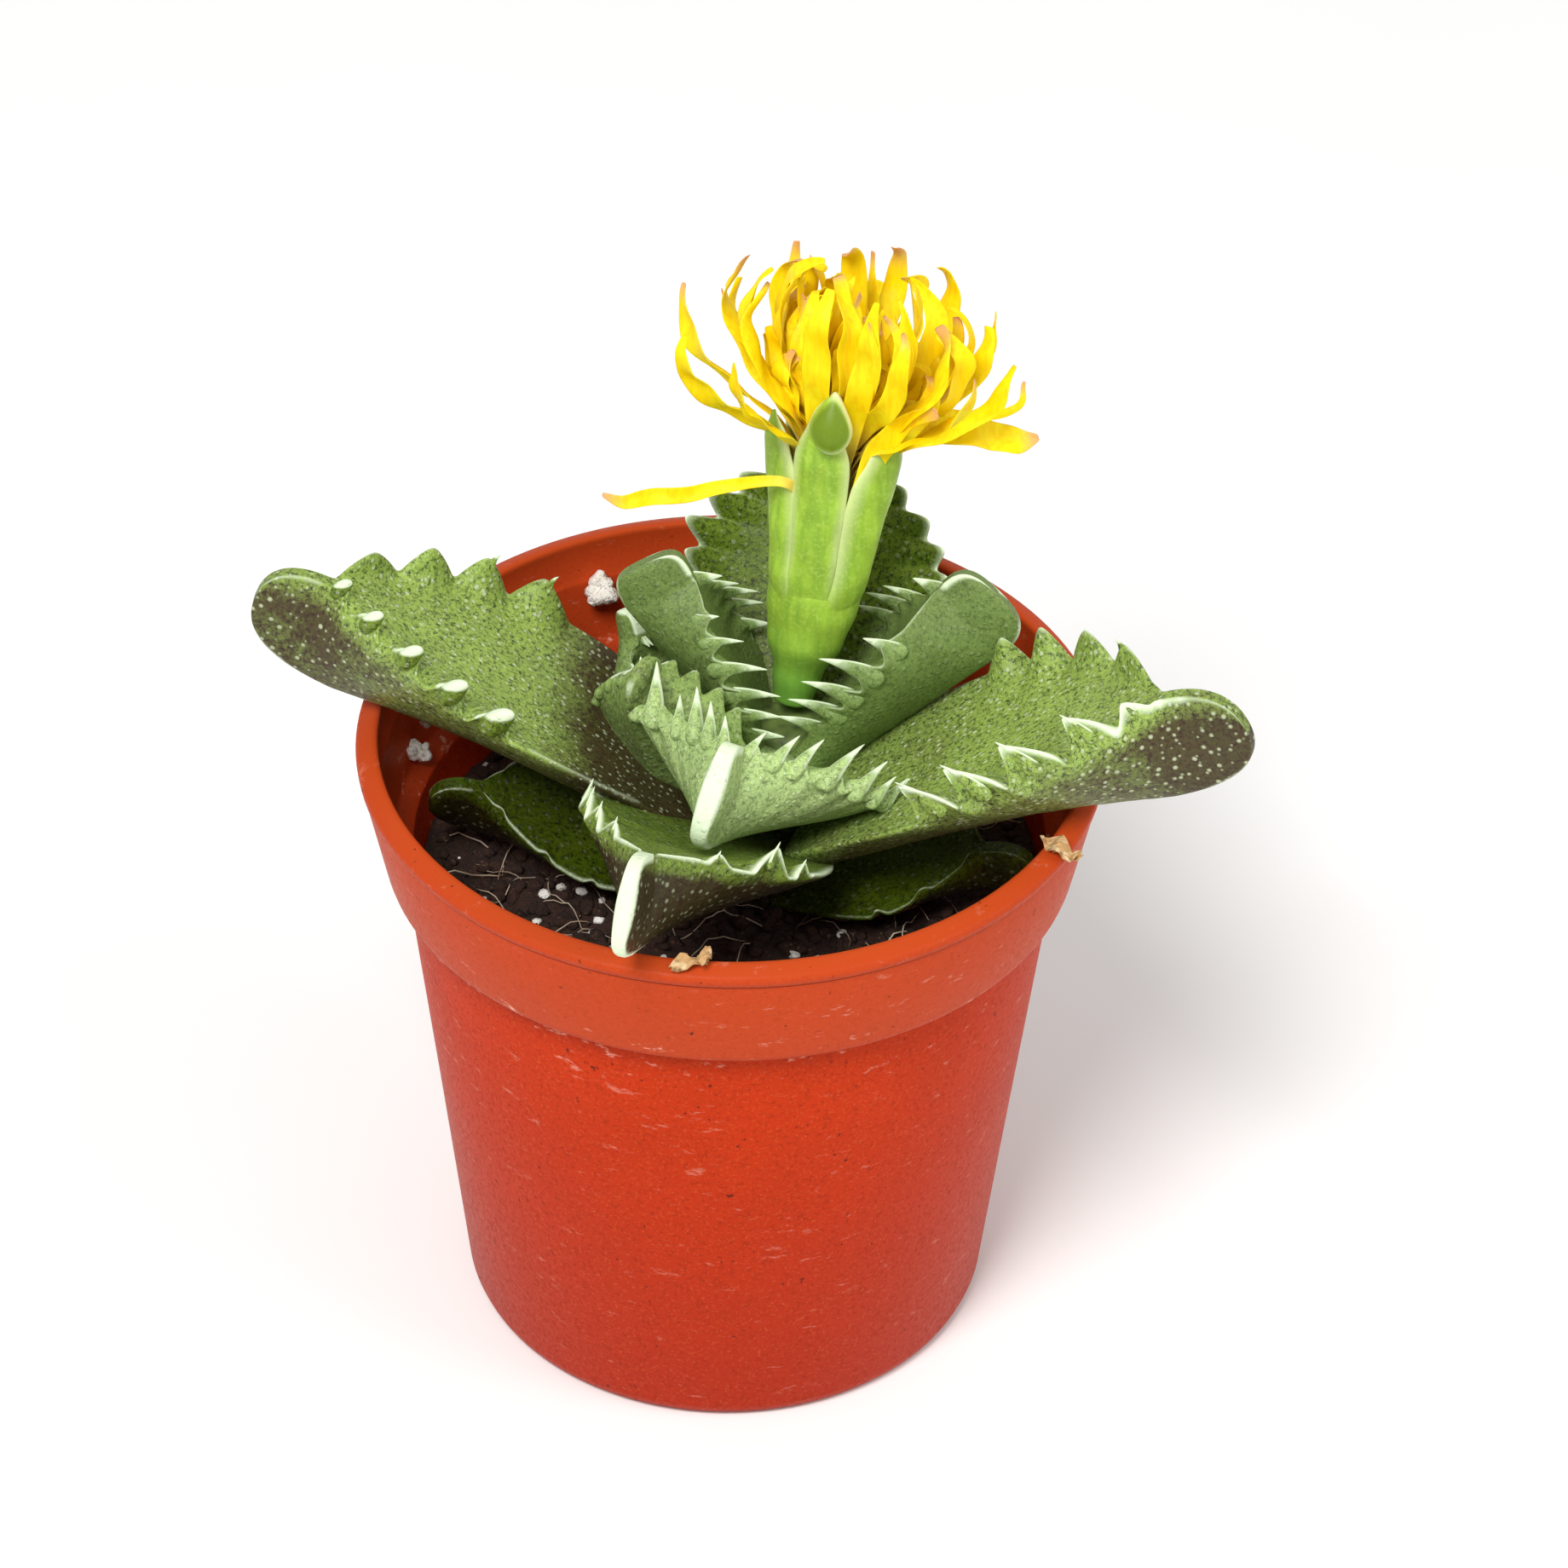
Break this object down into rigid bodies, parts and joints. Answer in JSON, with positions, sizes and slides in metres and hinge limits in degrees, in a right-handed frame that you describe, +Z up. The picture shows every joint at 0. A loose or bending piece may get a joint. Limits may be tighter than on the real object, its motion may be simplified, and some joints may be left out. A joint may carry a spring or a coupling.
{
  "type": "potted tiger jaws",
  "caption": "Small succulent with opposed pairs of thick keeled leaves edged in soft hooked teeth, one yellow bloom, in a thin plastic nursery pot.",
  "frame": {"origin": "centre of the pot's flat bottom", "axes": "+Z up along the pot's axis, -Y towards the viewer of the picture, +X to their right"},
  "size_m": [0.0855, 0.0685, 0.0997],
  "materials": {
    "pot": "satin moulded plastic",
    "soil": "loose peat compost with grit",
    "stem": "short fleshy rootstock",
    "leaf": "waxy succulent skin with pale dots",
    "leaf_dark": "waxy succulent skin, sunburnt purple brown",
    "calyx": "smooth fleshy tube and sepals",
    "petal": "thin silky petals"
  },
  "bodies": {
    "root": {"pot": "pot", "soil": "soil", "stem": "stem", "flower_calyx": "calyx", "flower_petals": "petal", "leaf_inner_left": "leaf", "leaf_inner_right": "leaf", "leaf_front": "leaf", "leaf_back": "leaf", "leaf_shoot_front": "leaf", "leaf_shoot_back": "leaf", "leaf_left": "leaf", "leaf_right": "leaf", "leaf_low_front": "leaf_dark", "leaf_low_back": "leaf_dark", "leaf_old_left": "leaf_dark", "leaf_old_right": "leaf_dark"}
  },
  "joints": []
}
